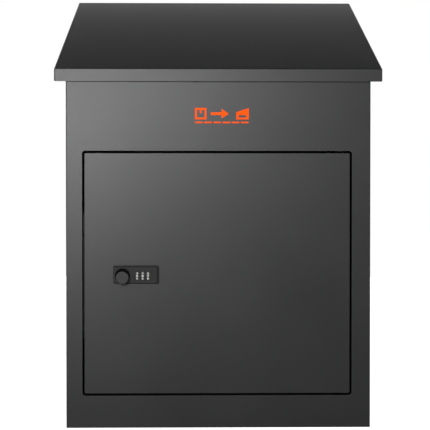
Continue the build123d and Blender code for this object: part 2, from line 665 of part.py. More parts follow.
with BuildPart() as door_pivot_blocks:
    for low in (DOOR_Z[0] + SHEET, DOOR_Z[1] - SHEET - BLOCK_HEIGHT):
        slab((PIVOT[0] - 8, DOOR_X[1] - SHEET), (FRONT_INNER, PIVOT[1] + 6.5), (low, low + BLOCK_HEIGHT))
        rod_z(*PIVOT, (low, low + BLOCK_HEIGHT), PIVOT_R + TIGHT_GAP, Mode.SUBTRACT)
save(door_pivot_blocks, "door_pivot_blocks")

with BuildPart() as door_hinge_pins:
    pin_reach = BUSH_LENGTH - 0.5
    rod_z(*PIVOT, (DOOR_Z[1] - SHEET - BLOCK_HEIGHT, OPENING_Z[1] + pin_reach), PIVOT_R)
    rod_z(*PIVOT, (OPENING_Z[0] - pin_reach, DOOR_Z[0] + SHEET + BLOCK_HEIGHT), PIVOT_R)
save(door_hinge_pins, "door_hinge_pins")

# A parcel, an arrow and a drop box in a row above a dashed line, cut from thin film: a generic sign
# for "put parcels in here".
with BuildPart() as drop_symbol:
    with BuildSketch(DOOR_PLANE):
        with Locations((BADGE[0] - 28.5, BADGE[1] + 3)):
            Rectangle(15.5, 15.5)
            Rectangle(10.3, 10.3, mode=Mode.SUBTRACT)
        with Locations((BADGE[0] - 28.5, BADGE[1] + 6.5)):
            Rectangle(2.6, 6)
        with Locations((BADGE[0] - 7.5, BADGE[1] + 3)):
            Rectangle(15, 3.6)
        with BuildLine():
            Polyline(
                (BADGE[0] - 0.5, BADGE[1] + 9.5),
                (BADGE[0] + 9.5, BADGE[1] + 3),
                (BADGE[0] - 0.5, BADGE[1] - 3.5),
                close=True,
            )
        make_face()
        with BuildLine():
            Polyline(
                (BADGE[0] + 19.5, BADGE[1] - 4.7),
                (BADGE[0] + 36.5, BADGE[1] - 4.7),
                (BADGE[0] + 36.5, BADGE[1] + 10.7),
                (BADGE[0] + 19.5, BADGE[1] + 5),
                close=True,
            )
        make_face()
        with Locations((BADGE[0] + 28, BADGE[1] - 0.6)):
            Rectangle(10.5, 3.2, mode=Mode.SUBTRACT)
        with Locations((BADGE[0], BADGE[1] - 8.8)):
            with GridLocations(12.4, 1, 6, 1):
                Rectangle(10.4, 2)
    extrude(amount=BADGE_FILM)
save(drop_symbol, "drop_symbol")

# ================================================================ Combination lock
with BuildPart() as lock_base:
    slab(PLATE_X, (PLATE_FRONT, FRONT_FACE), PLATE_Z)
    fillet(lock_base.edges().filter_by(Axis.Y), 1.8)
    fillet(lock_base.faces().sort_by(Axis.Y)[0].edges(), 0.5)
    rod_y(KNOB[0], (PLATE_FRONT, FRONT_FACE), KNOB[1], SPINDLE_R + 0.3, Mode.SUBTRACT)
    slab(DIAL_BAY_X, (PLATE_FRONT, FRONT_FACE), DIAL_BAY_Z, Mode.SUBTRACT)
    for screw_x, _ in SCREWS_X:
        rod_y(screw_x, (FRONT_FACE - 2.2, FRONT_FACE), DIAL_Z, SCREW_R + RUNNING_GAP, Mode.SUBTRACT)
save(lock_base, "lock_base")

with BuildPart() as lock_faceplate:
    slab(COVER_X, (COVER_FRONT, PLATE_FRONT), COVER_Z)
    upright = lock_faceplate.edges().filter_by(Axis.Y)
    fillet(upright.group_by(Axis.X)[0], 1.2)
    fillet(lock_faceplate.edges().filter_by(Axis.Y).group_by(Axis.X)[-1], 3.0)
    fillet(lock_faceplate.faces().sort_by(Axis.Y)[0].edges(), 0.35)
    with BuildSketch(Plane.XZ.offset(-COVER_FRONT)):
        with Locations((DIAL_X[1] + 1.5, DIAL_Z)):
            RectangleRounded(DIAL_X[2] - DIAL_X[0] + 17.0, 2 * WINDOW_HALF + 5.0, 5.0)
    extrude(amount=-0.3, mode=Mode.SUBTRACT)
    rod_y(KNOB[0], (COVER_FRONT, PLATE_FRONT), KNOB[1], SPINDLE_R + 0.3, Mode.SUBTRACT)
    window_z = (DIAL_Z - WINDOW_HALF, DIAL_Z + WINDOW_HALF)
    for dial_x in DIAL_X:
        window_x = (dial_x - DIAL_WIDTH / 2 - 0.2, dial_x + DIAL_WIDTH / 2 + 0.2)
        slab(window_x, (COVER_FRONT, PLATE_FRONT), window_z, Mode.SUBTRACT)
save(lock_faceplate, "lock_faceplate")

with BuildPart() as knob_collar:
    rod_y(COLLAR[0], (COLLAR_FRONT, COVER_FRONT), COLLAR[1], COLLAR_R)
    fillet(knob_collar.edges().group_by(Axis.Y)[0], 0.8)
    rod_y(KNOB[0], (COLLAR_FRONT, COVER_FRONT), KNOB[1], SPINDLE_R + 0.3, Mode.SUBTRACT)
save(knob_collar, "knob_collar")

with BuildPart() as lock_housing:
    slab(HOUSING_X, (FRONT_FACE, HOUSING_REAR), HOUSING_Z)
    slab(DIAL_BAY_X, (FRONT_FACE, FRONT_FACE + DIAL_BAY_DEPTH), DIAL_BAY_Z, Mode.SUBTRACT)
    rod_y(KNOB[0], (FRONT_FACE, HOUSING_REAR), KNOB[1], SPINDLE_R + RUNNING_GAP, Mode.SUBTRACT)
    rod_x(AXLE_X, DIAL_Y, DIAL_Z, AXLE_R + TIGHT_GAP, Mode.SUBTRACT)
    rod_y(RESET_X, (HOUSING_REAR - 6.5, HOUSING_REAR), DIAL_Z, RESET_R + RUNNING_GAP, Mode.SUBTRACT)
save(lock_housing, "lock_housing")

with BuildPart() as dial_axle:
    rod_x(AXLE_X, DIAL_Y, DIAL_Z, AXLE_R)
save(dial_axle, "dial_axle")

for index, dial_x in enumerate(DIAL_X, start=1):
    with BuildPart() as dial:
        wheel_x = (dial_x - DIAL_WIDTH / 2, dial_x + DIAL_WIDTH / 2)
        rod_x(wheel_x, DIAL_Y, DIAL_Z, DIAL_R)
        rod_x(wheel_x, DIAL_Y, DIAL_Z, AXLE_R + RUNNING_GAP, Mode.SUBTRACT)
        with Locations(Location((dial_x, DIAL_Y, DIAL_Z), (0, 90, 0))):
            with PolarLocations(DIAL_R + 0.25, 10):
                Cylinder(0.55, 2 * DIAL_WIDTH, mode=Mode.SUBTRACT)
    save(dial, f"dial_{index}")

with BuildPart() as dial_detent_springs:
    strip, foot = FRONT_FACE + DIAL_BAY_DEPTH - 0.8, FRONT_FACE + DIAL_BAY_DEPTH
    for dial_x in DIAL_X:
        spring_x = (dial_x - 1.5, dial_x + 1.5)
        slab(spring_x, (strip, strip + 0.4), (DIAL_Z - 5.5, DIAL_Z + 5.5))
        slab(spring_x, (strip + 0.4, foot), (DIAL_Z - 5.5, DIAL_Z - 4))
save(dial_detent_springs, "dial_detent_springs")

with BuildPart() as lock_clamp_plate:
    slab((PLATE_X[0] - 4, PLATE_X[1] + 4), (FRONT_INNER, CLAMP_REAR), (PLATE_Z[0] - 3, PLATE_Z[1] + 3))
    lock_cutouts((FRONT_INNER, CLAMP_REAR))
save(lock_clamp_plate, "lock_clamp_plate")

with BuildPart() as lock_screws:
    for screw_x, side in SCREWS_X:
        rod_y(screw_x, (FRONT_FACE - 2.0, CLAMP_REAR), DIAL_Z, SCREW_R)
        rod_y(screw_x + side * 0.6, (CLAMP_REAR, CLAMP_REAR + 1.8), DIAL_Z, 1.6 * SCREW_R)
save(lock_screws, "lock_screws")

with BuildPart() as lock_knob:
    rod_y(KNOB[0], (KNOB_FRONT, KNOB_BACK), KNOB[1], KNOB_R)
    fillet(lock_knob.edges().group_by(Axis.Y)[0], 0.8)
    rod_y(KNOB[0], (KNOB_FRONT, KNOB_FRONT + 0.5), KNOB[1], KNOB_DISH_R, Mode.SUBTRACT)
    flute_y = (KNOB_FRONT + 1.2, KNOB_BACK)
    with Locations(Location((KNOB[0], sum(flute_y) / 2, KNOB[1]), (90, 0, 0))):
        with PolarLocations(KNOB_R + 0.35, 24):
            Cylinder(0.7, flute_y[1] - flute_y[0], mode=Mode.SUBTRACT)
    mark_z = (KNOB[1] + KNOB_DISH_R - 2.2, KNOB[1] + KNOB_DISH_R)
    slab((KNOB[0] - 0.6, KNOB[0] + 0.6), (KNOB_FRONT, KNOB_FRONT + 1.0), mark_z, Mode.SUBTRACT)
    rod_y(KNOB[0], (KNOB_FRONT, KNOB_BACK), KNOB[1], KEY_PLUG_R + TIGHT_GAP, Mode.SUBTRACT)
    rod_y(KNOB[0], (KNOB_BACK - 3, KNOB_BACK), KNOB[1], SPINDLE_R + TIGHT_GAP, Mode.SUBTRACT)
save(lock_knob, "lock_knob")

with BuildPart() as key_plug:
    rod_y(KNOB[0], (KNOB_FRONT + 0.2, KNOB_BACK - 3), KNOB[1], KEY_PLUG_R)
    fillet(key_plug.edges().group_by(Axis.Y)[0], 0.3)
    with Locations(Location((KNOB[0], KNOB_FRONT, KNOB[1]), (0, 40, 0))):
        Box(0.9, 3.5, 4.4, mode=Mode.SUBTRACT)
save(key_plug, "key_plug")

with BuildPart() as lock_spindle:
    rod_y(KNOB[0], (KNOB_BACK - 3, HOUSING_REAR + 1), KNOB[1], SPINDLE_R)
    half = SQUARE / 2
    slab(
        (KNOB[0] - half, KNOB[0] + half),
        (HOUSING_REAR + 1, CAM_Y + CAM_SHEET),
        (KNOB[1] - half, KNOB[1] + half),
    )
    rod_y(KNOB[0], (CAM_Y + CAM_SHEET, CAM_Y + CAM_SHEET + 5), KNOB[1], 2.5)
save(lock_spindle, "lock_spindle")

with BuildPart() as lock_cam:
    with BuildSketch(Plane.XZ.offset(-CAM_Y)):
        with Locations(KNOB):
            Circle(CAM_HALF_WIDTH)
        with Locations((KNOB[0], KNOB[1] - CAM_LENGTH + CAM_HALF_WIDTH)):
            Circle(CAM_HALF_WIDTH)
        make_hull()
        with Locations(KNOB):
            Rectangle(SQUARE + 0.1, SQUARE + 0.1, mode=Mode.SUBTRACT)
    extrude(amount=-CAM_SHEET)
save(lock_cam, "lock_cam")

with BuildPart() as cam_nut:
    with BuildSketch(Plane.XZ.offset(-CAM_Y - CAM_SHEET)):
        with Locations(KNOB):
            RegularPolygon(4.6, 6)
            Circle(2.55, mode=Mode.SUBTRACT)
    extrude(amount=-3.5)
save(cam_nut, "cam_nut")

with BuildPart() as reset_button:
    rod_y(RESET_X, (HOUSING_REAR - 4, HOUSING_REAR + 2.5), DIAL_Z, RESET_R)
save(reset_button, "reset_button")

print("slope", round(degrees(SLOPE), 2), "hinge", HINGE_Y, round(HINGE_Z, 2), "baffle", BAFFLE_AXIS)
print("crank pin", CRANK_PIN, "arm pin", ARM_PIN, "rear top", round(REAR_TOP, 2))
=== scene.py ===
"""Looks of the parcel drop box: its materials, the detailed pieces of the lock, the soft trim, the light
and the camera. Metres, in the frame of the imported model: front towards -Y, +Z up."""

import json
import math

import bmesh
import bpy
from mathutils import Matrix, Vector


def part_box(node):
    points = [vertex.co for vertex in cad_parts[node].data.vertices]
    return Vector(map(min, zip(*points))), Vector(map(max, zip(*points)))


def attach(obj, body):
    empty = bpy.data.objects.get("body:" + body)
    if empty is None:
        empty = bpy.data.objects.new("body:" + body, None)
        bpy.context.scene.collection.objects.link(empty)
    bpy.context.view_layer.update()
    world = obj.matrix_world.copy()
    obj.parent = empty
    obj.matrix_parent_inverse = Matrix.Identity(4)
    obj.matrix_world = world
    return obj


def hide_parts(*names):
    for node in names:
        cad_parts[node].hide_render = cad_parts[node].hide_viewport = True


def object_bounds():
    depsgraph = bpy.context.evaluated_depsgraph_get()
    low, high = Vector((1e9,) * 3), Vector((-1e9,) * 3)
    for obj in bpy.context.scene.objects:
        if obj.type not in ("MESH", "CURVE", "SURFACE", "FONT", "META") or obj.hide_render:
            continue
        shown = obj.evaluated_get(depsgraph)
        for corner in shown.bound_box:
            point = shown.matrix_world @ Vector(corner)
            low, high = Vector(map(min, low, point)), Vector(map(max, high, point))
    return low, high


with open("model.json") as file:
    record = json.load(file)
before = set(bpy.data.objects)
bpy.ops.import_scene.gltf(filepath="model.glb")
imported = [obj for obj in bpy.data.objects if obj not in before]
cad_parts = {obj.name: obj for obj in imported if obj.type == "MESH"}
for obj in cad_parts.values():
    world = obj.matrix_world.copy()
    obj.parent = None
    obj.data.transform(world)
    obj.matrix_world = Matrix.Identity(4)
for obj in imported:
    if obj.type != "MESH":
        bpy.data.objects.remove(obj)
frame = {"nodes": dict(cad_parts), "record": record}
cad_low, cad_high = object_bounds()
MM = 0.001

# ------------------------------------------------------------------ camera and white surroundings
CAMERA_AT = Vector((-0.0306, -1.7611, 0.3128))
CAMERA_TARGET = Vector((-0.0019, 0.0, 0.2855))
LENS = 98.4
SENSOR = 36.0
FLOOR_GLOW = 1.0
WORLD_GLOW = 0.03

# ------------------------------------------------------------------ colours
CHARCOAL = (0.0135, 0.0138, 0.0143)
CHARCOAL_LIGHT = (0.0180, 0.0183, 0.0190)
ZINC = (0.58, 0.59, 0.60)
STEEL = (0.62, 0.61, 0.60)
LOCK_GREY = (0.0080, 0.0080, 0.0083)
LOCK_DARK = (0.0060, 0.0060, 0.0062)
SIGN_ORANGE = (0.90, 0.084, 0.001)
DIGIT_WHITE = (0.62, 0.62, 0.60)


def rgba(colour):
    return (*colour, 1.0)


def grey(level):
    return (level, level, level)


class Tree:
    """Short calls for building one material's nodes in object coordinates."""

    def __init__(self, name, roughness, metallic=0.0, specular=0.5):
        self.material = bpy.data.materials.new(name)
        self.material.use_nodes = True
        self.nodes = self.material.node_tree.nodes
        self.links = self.material.node_tree.links
        self.shader = self.nodes["Principled BSDF"]
        self.shader.inputs["Roughness"].default_value = roughness
        self.shader.inputs["Metallic"].default_value = metallic
        self.shader.inputs["Specular IOR Level"].default_value = specular
        self.place = self.nodes.new("ShaderNodeTexCoord").outputs["Object"]

    def stretched(self, scale):
        """Object coordinates scaled differently along each axis."""
        mapping = self.nodes.new("ShaderNodeMapping")
        mapping.inputs["Scale"].default_value = scale
        self.links.new(self.place, mapping.inputs["Vector"])
        return mapping.outputs["Vector"]

    def noise(self, scale, detail=2.0, place=None):
        node = self.nodes.new("ShaderNodeTexNoise")
        node.inputs["Scale"].default_value = scale
        node.inputs["Detail"].default_value = detail
        self.links.new(place or self.place, node.inputs["Vector"])
        return node.outputs["Fac"]

    def cells(self, scale):
        """Distance to the nearest point of a cell pattern."""
        node = self.nodes.new("ShaderNodeTexVoronoi")
        node.inputs["Scale"].default_value = scale
        self.links.new(self.place, node.inputs["Vector"])
        return node.outputs["Distance"]

    def ramp(self, value, stops):
        """Colour ramp from two (position, colour) stops."""
        node = self.nodes.new("ShaderNodeValToRGB")
        for element, (position, colour) in zip(node.color_ramp.elements, stops):
            element.position = position
            element.color = rgba(colour)
        self.links.new(value, node.inputs["Fac"])
        return node.outputs["Color"]

    def remap(self, value, low, high, from_low=0.3, from_high=0.7):
        node = self.nodes.new("ShaderNodeMapRange")
        node.inputs["From Min"].default_value = from_low
        node.inputs["From Max"].default_value = from_high
        node.inputs["To Min"].default_value = low
        node.inputs["To Max"].default_value = high
        self.links.new(value, node.inputs["Value"])
        return node.outputs["Result"]

    def mottled(self, scale, detail, dark, light):
        """Colour that wanders between two shades."""
        return self.ramp(self.noise(scale, detail), [(0.3, dark), (0.7, light)])

    def worn_edges(self, radius, amount, base, bare_and_lit):
        """Base colour that fades towards a lighter one along edges: partly wear, partly a painted
        highlight.
        """
        return self.mix(self.remap(self.edges(radius), 0.0, amount, 0.2, 1.0), base, bare_and_lit)

    def mix(self, factor, first, second):
        """Mix two colours, each a socket or a fixed colour."""
        node = self.nodes.new("ShaderNodeMix")
        node.data_type = "RGBA"
        self.links.new(factor, node.inputs["Factor"])
        for socket, value in (("A", first), ("B", second)):
            slot = next(s for s in node.inputs if s.name == socket and s.type == "RGBA")
            if isinstance(value, tuple):
                slot.default_value = rgba(value)
            else:
                self.links.new(value, slot)
        return next(s for s in node.outputs if s.type == "RGBA")

    def edges(self, radius):
        """1 along sharp or bent edges within the radius, 0 on flat faces."""
        bevel = self.nodes.new("ShaderNodeBevel")
        bevel.samples = 4
        bevel.inputs["Radius"].default_value = radius
        surface = self.nodes.new("ShaderNodeNewGeometry")
        dot = self.nodes.new("ShaderNodeVectorMath")
        dot.operation = "DOT_PRODUCT"
        self.links.new(bevel.outputs["Normal"], dot.inputs[0])
        self.links.new(surface.outputs["Normal"], dot.inputs[1])
        return self.remap(dot.outputs["Value"], 1.0, 0.0, 0.80, 0.995)

    def colour(self, socket):
        self.links.new(socket, self.shader.inputs["Base Color"])

    def roughness(self, socket):
        self.links.new(socket, self.shader.inputs["Roughness"])

    def bump(self, height, depth, strength=1.0, below=None):
        node = self.nodes.new("ShaderNodeBump")
        node.inputs["Distance"].default_value = depth
        node.inputs["Strength"].default_value = strength
        self.links.new(height, node.inputs["Height"])
        if below is not None:
            self.links.new(below, node.inputs["Normal"])
        self.links.new(node.outputs["Normal"], self.shader.inputs["Normal"])
        return node.outputs["Normal"]


def powder_coat():
    """Fine-textured charcoal powder coat on sheet steel, lighter along its bends: partly wear, partly a
    painted highlight.
    """
    tree = Tree("powder_coat", 0.40)
    mottle = tree.mottled(9.0, 4.0, CHARCOAL, CHARCOAL_LIGHT)
    # Lighter bends: a painted highlight along the bends, partly wear.
    tree.colour(tree.worn_edges(0.0012, 0.35, mottle, (0.10, 0.10, 0.105)))
    tree.roughness(tree.remap(tree.noise(260.0, 3.0), 0.385, 0.415))
    peel = tree.bump(tree.noise(420.0, 2.0), 0.00010, 0.12)
    tree.bump(tree.noise(1700.0, 2.0), 0.00006, 0.35, peel)
    return tree.material


def zinc_plate():
    """Bright zinc plating with a faint crystal pattern."""
    tree = Tree("zinc_plate", 0.34, 1.0)
    tree.colour(tree.ramp(tree.cells(260.0), [(0.0, (0.50, 0.51, 0.53)), (0.9, ZINC)]))
    tree.roughness(tree.remap(tree.noise(90.0, 3.0), 0.28, 0.42))
    tree.bump(tree.noise(1500.0, 2.0), 0.00004, 0.4)
    return tree.material


def turned_steel():
    """Turned bar steel, with fine rings across the axis of the bar."""
    tree = Tree("turned_steel", 0.26, 1.0)
    rings = tree.noise(1.0, 2.0, tree.stretched((6000.0, 40.0, 40.0)))
    tree.colour(tree.mottled(60.0, 2.0, grey(0.50), STEEL))
    tree.roughness(tree.remap(rings, 0.20, 0.34))
    tree.bump(rings, 0.00003, 0.5)
    return tree.material


def foam():
    """Closed-cell foam with a skin of small cells."""
    tree = Tree("foam", 0.92, 0.0, 0.2)
    tree.colour(tree.ramp(tree.cells(1400.0), [(0.1, grey(0.018)), (0.8, (0.045, 0.045, 0.046))]))
    tree.bump(tree.cells(1400.0), 0.0003, 0.6)
    return tree.material


def rubber():
    """Matt black rubber with a slight grain."""
    tree = Tree("rubber", 0.70, 0.0, 0.35)
    tree.colour(tree.mottled(120.0, 3.0, grey(0.014), grey(0.026)))
    tree.bump(tree.noise(1800.0, 2.0), 0.00005, 0.5)
    return tree.material


def acetal():
    """Natural white bearing plastic."""
    tree = Tree("acetal", 0.42)
    tree.colour(tree.mottled(50.0, 3.0, (0.62, 0.61, 0.57), (0.74, 0.73, 0.69)))
    tree.bump(tree.noise(900.0, 2.0), 0.00003, 0.4)
    return tree.material


def lock_black():
    """Satin die-cast lock body, painted black, its edges lighter: a painted highlight along the bevels,
    partly wear.
    """
    tree = Tree("lock_black", 0.48, 0.0, 0.30)
    # Lighter edges: a painted highlight along the bevels, partly wear.
    tree.colour(tree.worn_edges(0.0005, 0.5, tree.mottled(70.0, 3.0, LOCK_DARK, LOCK_GREY), grey(0.06)))
    tree.roughness(tree.remap(tree.noise(700.0, 2.0), 0.44, 0.56))
    tree.bump(tree.noise(2600.0, 2.0), 0.00003, 0.4)
    return tree.material


def knob_black():
    """Moulded knob, a little brighter than the plate it sits on."""
    tree = Tree("knob_black", 0.44, 0.0, 0.4)
    base = tree.mottled(90.0, 3.0, (0.010, 0.010, 0.0103), (0.014, 0.014, 0.0144))
    # Lighter rim and edges: a painted highlight, partly wear.
    tree.colour(tree.worn_edges(0.0004, 0.5, base, grey(0.07)))
    tree.roughness(tree.remap(tree.noise(800.0, 2.0), 0.38, 0.46))
    tree.bump(tree.noise(2400.0, 2.0), 0.00002, 0.4)
    return tree.material


def deep_black(name="deep_black", gloss=0.04, shade=0.002):
    """Matt black plastic that swallows most light."""
    tree = Tree(name, 0.62, 0.0, gloss)
    tree.colour(tree.mottled(300.0, 3.0, grey(shade), grey(1.5 * shade)))
    tree.roughness(tree.remap(tree.noise(900.0, 2.0), 0.56, 0.68))
    tree.bump(tree.noise(2400.0, 2.0), 0.00003, 0.4)
    return tree.material


def black_steel():
    """Black-oxide steel with faint turning marks, made near-black and almost glossless: a painted shade, so
    that pins seen in the door gap read as part of its shadow.
    """
    tree = Tree("black_steel", 0.60, 0.0, 0.06)
    # Near-black and almost glossless: a painted shade for the dark door gap.
    tree.colour(tree.mottled(500.0, 3.0, (0.0016, 0.0016, 0.0017), (0.0030, 0.0029, 0.0029)))
    tree.roughness(tree.remap(tree.noise(1200.0, 2.0), 0.48, 0.60))
    tree.bump(tree.noise(3000.0, 2.0), 0.00002, 0.4)
    return tree.material


def dial_black():
    """Satin plastic of the number wheels."""
    tree = Tree("dial_black", 0.45)
    tree.colour(tree.mottled(900.0, 2.0, (0.012, 0.012, 0.013), (0.020, 0.020, 0.021)))
    tree.bump(tree.noise(2500.0, 2.0), 0.00003, 0.3)
    return tree.material


def digit_paint():
    """White fill of the digits, a little uneven."""
    tree = Tree("digit_paint", 0.55)
    tree.colour(tree.mottled(1800.0, 2.0, (0.50, 0.50, 0.48), DIGIT_WHITE))
    return tree.material


def orange_film():
    """Orange sign film with a slight print grain."""
    tree = Tree("orange_film", 0.60, 0.0, 0.08)
    tree.colour(tree.mottled(700.0, 2.0, (0.82, 0.074, 0.001), SIGN_ORANGE))
    tree.bump(tree.noise(1500.0, 1.0), 0.00003, 0.2)
    return tree.material


def pale_floor():
    """White translucent sheet, lit a little from below like a photographer's light table."""
    tree = Tree("pale_floor", 0.75)
    tree.colour(tree.mottled(3.0, 3.0, grey(0.80), grey(0.83)))
    tree.shader.inputs["Emission Color"].default_value = rgba(grey(1.0))
    tree.shader.inputs["Emission Strength"].default_value = FLOOR_GLOW
    return tree.material


MATERIALS = {
    "powder_coat": powder_coat(),
    "galvanised": zinc_plate(),
    "bright_steel": turned_steel(),
    "foam": foam(),
    "rubber": rubber(),
    "acetal": acetal(),
    "lock_black": lock_black(),
    "deep_black": deep_black(),
    "black_steel": black_steel(),
    "dial_black": dial_black(),
    "orange": orange_film(),
    "digits": digit_paint(),
}


# ------------------------------------------------------------------ helpers for pieces
WELD = 0.001 * MM
# Angles between two faces, in radians: below FLAT they are one face, above SHARP their edge is rounded.
FLAT = math.radians(2)
SHARP = 0.5


def finish_with(obj, material):
    obj.data.materials.clear()
    obj.data.materials.append(material)


def new_piece(name, mesh, body, material, smooth=True):
    """Object for a finished mesh, riding on a body."""
    obj = bpy.data.objects.new(name, mesh)
    bpy.context.scene.collection.objects.link(obj)
    finish_with(obj, material)
    for polygon in mesh.polygons:
        polygon.use_smooth = smooth
    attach(obj, body)
    return obj


def mesh_from(build, name):
    """Finished mesh from a bmesh, with its normals facing out."""
    bmesh.ops.recalc_face_normals(build, faces=build.faces)
    mesh = bpy.data.meshes.new(name)
    build.to_mesh(mesh)
    build.free()
    return mesh


def turned(name, profile, segments, place, radius_at=None):
    """Mesh turned about an axis, closed at both ends, from (radius, distance along the axis) points.
    place(across, up, along) gives the point in the frame, and radius_at(radius, angle) may cut flutes."""
    build = bmesh.new()
    rings = []
    for radius, along in profile:
        ring = []
        for k in range(segments):
            angle = 2 * math.pi * k / segments
            r = radius_at(radius, angle) if radius_at else radius
            ring.append(build.verts.new(place(r * math.cos(angle), r * math.sin(angle), along)))
        rings.append(ring)
    for near, far in zip(rings, rings[1:]):
        for k in range(segments):
            after = (k + 1) % segments
            build.faces.new((near[k], near[after], far[after], far[k]))
    for ring in (rings[0], rings[-1]):
        build.faces.new(ring)
    return mesh_from(build, name)


def arc(centre, radius, start, end, steps):
    """Points on a circle round a (radius, along) centre, between two angles in degrees."""
    angles = [math.radians(start + (end - start) * k / steps) for k in range(steps + 1)]
    return [(centre[0] + radius * math.cos(a), centre[1] + radius * math.sin(a)) for a in angles]


def welded(node):
    """Bmesh of a CAD node with its doubled corners joined."""
    build = bmesh.new()
    build.from_mesh(frame["nodes"][node].data)
    bmesh.ops.remove_doubles(build, verts=build.verts, dist=WELD)
    return build


def softened(node, width, segments):
    """Copy of a CAD node's mesh with its sharp edges rounded, for soft trim."""
    build = welded(node)
    bmesh.ops.dissolve_limit(build, angle_limit=FLAT, verts=build.verts, edges=build.edges)
    sharp = [edge for edge in build.edges if len(edge.link_faces) == 2 and edge.calc_face_angle() > SHARP]
    bmesh.ops.bevel(build, geom=sharp, offset=width, segments=segments, profile=0.5, affect="EDGES")
    return mesh_from(build, node)


def solid_boxes(node):
    """Lowest and highest corner of each separate solid in a CAD node."""
    build = welded(node)
    waiting = set(build.verts)
    boxes = []
    while waiting:
        stack = [waiting.pop()]
        solid = list(stack)
        while stack:
            for edge in stack.pop().link_edges:
                for vert in edge.verts:
                    if vert in waiting:
                        waiting.remove(vert)
                        stack.append(vert)
                        solid.append(vert)
        points = [vert.co.copy() for vert in solid]
        low = Vector([min(point[axis] for point in points) for axis in range(3)])
        high = Vector([max(point[axis] for point in points) for axis in range(3)])
        boxes.append((low, high))
    build.free()
    return sorted(boxes, key=lambda box: tuple(box[0]))


def joined(meshes, name):
    """One mesh from several."""
    build = bmesh.new()
    for mesh in meshes:
        build.from_mesh(mesh)
    return mesh_from(build, name)


def cut(obj, cutter):
    """Cut the cutter's shape out of an object's mesh and remove the cutter."""
    modifier = obj.modifiers.new("cut", "BOOLEAN")
    modifier.object = cutter
    modifier.operation = "DIFFERENCE"
    modifier.solver = "EXACT"
    evaluated = obj.evaluated_get(bpy.context.evaluated_depsgraph_get())
    mesh = bpy.data.meshes.new_from_object(evaluated)
    obj.modifiers.clear()
    obj.data = mesh
    bpy.data.objects.remove(cutter)


# ------------------------------------------------------------------ materials of the CAD pieces
slots = {part["node"]: part["material_slot"] for part in frame["record"]["subparts"]}
for node, obj in frame["nodes"].items():
    finish_with(obj, MATERIALS[slots[node]])
for turned_part in ("lock_knob", "key_plug"):
    finish_with(frame["nodes"][turned_part], knob_black())
# The lock base is a darker black than its cover: partly its own black, partly painted shade for the shaded
# border and the dark crescent round the knob.
finish_with(frame["nodes"]["lock_base"], deep_black("base_black_painted_shade", 0.28, 0.004))


# ------------------------------------------------------------------ number wheels of the lock
DIGITS = 10
WHEEL_BEVEL = 0.35 * MM
FLUTE_DEPTH = 0.32 * MM
DIGIT_HEIGHT = 3.1 * MM
DIGIT_RELIEF = 0.09 * MM
DIGIT_STROKE = 0.06 * MM
DIGIT_STRETCH = 1.45
# Bore over the wheel's radius, half a flute's width over the step between digits, a digit's height over
# its font size, and the number of bands that a digit is cut into before it is wrapped.
WHEEL_BORE = 0.30
FLUTE_HALF = 0.16
CAP_HEIGHT = 0.70
BANDS = 8
WHEEL_SHOWS = {"dial_1": 5, "dial_2": 4, "dial_3": 7}


def digit_outline(digit):
    """Flat mesh of one digit, centred, with its top towards +Y."""
    curve = bpy.data.curves.new("digit", "FONT")
    curve.body = str(digit)
    curve.size = DIGIT_HEIGHT / CAP_HEIGHT
    curve.align_x = "CENTER"
    curve.extrude = DIGIT_RELIEF
    curve.offset = DIGIT_STROKE
    curve.resolution_u = 4
    holder = bpy.data.objects.new("digit", curve)
    bpy.context.scene.collection.objects.link(holder)
    evaluated = holder.evaluated_get(bpy.context.evaluated_depsgraph_get())
    mesh = bpy.data.meshes.new_from_object(evaluated)
    bpy.data.objects.remove(holder)
    return mesh


def wrapped_digits(name, centre, radius, shown):
    """Ten digits laid round a wheel that turns about X, counting up from top to bottom at the front."""
    build = bmesh.new()
    for digit in range(DIGITS):
        flat = bmesh.new()
        flat.from_mesh(digit_outline(digit))
        low = min(vert.co.y for vert in flat.verts)
        high = max(vert.co.y for vert in flat.verts)
        for k in range(1, BANDS):
            level = low + (high - low) * k / BANDS
            geometry = flat.verts[:] + flat.edges[:] + flat.faces[:]
            bmesh.ops.bisect_plane(flat, geom=geometry, plane_co=(0, level, 0), plane_no=(0, 1, 0))
        turn = 2 * math.pi * (shown - digit) / DIGITS
        for vert in flat.verts:
            angle = turn + (vert.co.y - (low + high) / 2) / radius
            reach = radius + vert.co.z
            vert.co = (
                centre.x + DIGIT_STRETCH * vert.co.x,
                centre.y - reach * math.cos(angle),
                centre.z + reach * math.sin(angle),
            )
        piece = bpy.data.meshes.new("digit")
        flat.to_mesh(piece)
        flat.free()
        build.from_mesh(piece)
    return mesh_from(build, name)


def number_wheel(node):
    """Wheel with a land for each digit and a thumb flute between two lands."""
    low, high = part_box(node)
    centre = (low + high) / 2
    radius, half = (high.y - low.y) / 2, (high.x - low.x) / 2
    flute = 2 * math.pi / DIGITS

    def radius_at(r, angle):
        from_flute = abs((angle / flute) % 1.0 - 0.5)
        depth = FLUTE_DEPTH * max(0.0, 1 - ((0.5 - from_flute) / FLUTE_HALF) ** 2)
        return r - depth if r > radius / 2 else r

    rim = arc((radius - WHEEL_BEVEL, -half + WHEEL_BEVEL), WHEEL_BEVEL, -90, 0, 4)
    rim += arc((radius - WHEEL_BEVEL, half - WHEEL_BEVEL), WHEEL_BEVEL, 0, 90, 4)
    inner = radius * WHEEL_BORE
    profile = [(inner, -half), *rim, (inner, half)]

    def place(across, up, along):
        return (centre.x + along, centre.y - across, centre.z + up)

    wheel_mesh = turned(node, profile, 180, place, radius_at)
    wheel = new_piece(node + "_wheel", wheel_mesh, node, MATERIALS["dial_black"])
    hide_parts(node)
    digits = wrapped_digits(node, centre, radius, WHEEL_SHOWS[node])
    new_piece(node + "_digits", digits, node, MATERIALS["digits"], smooth=False)


for wheel_node in WHEEL_SHOWS:
    number_wheel(wheel_node)


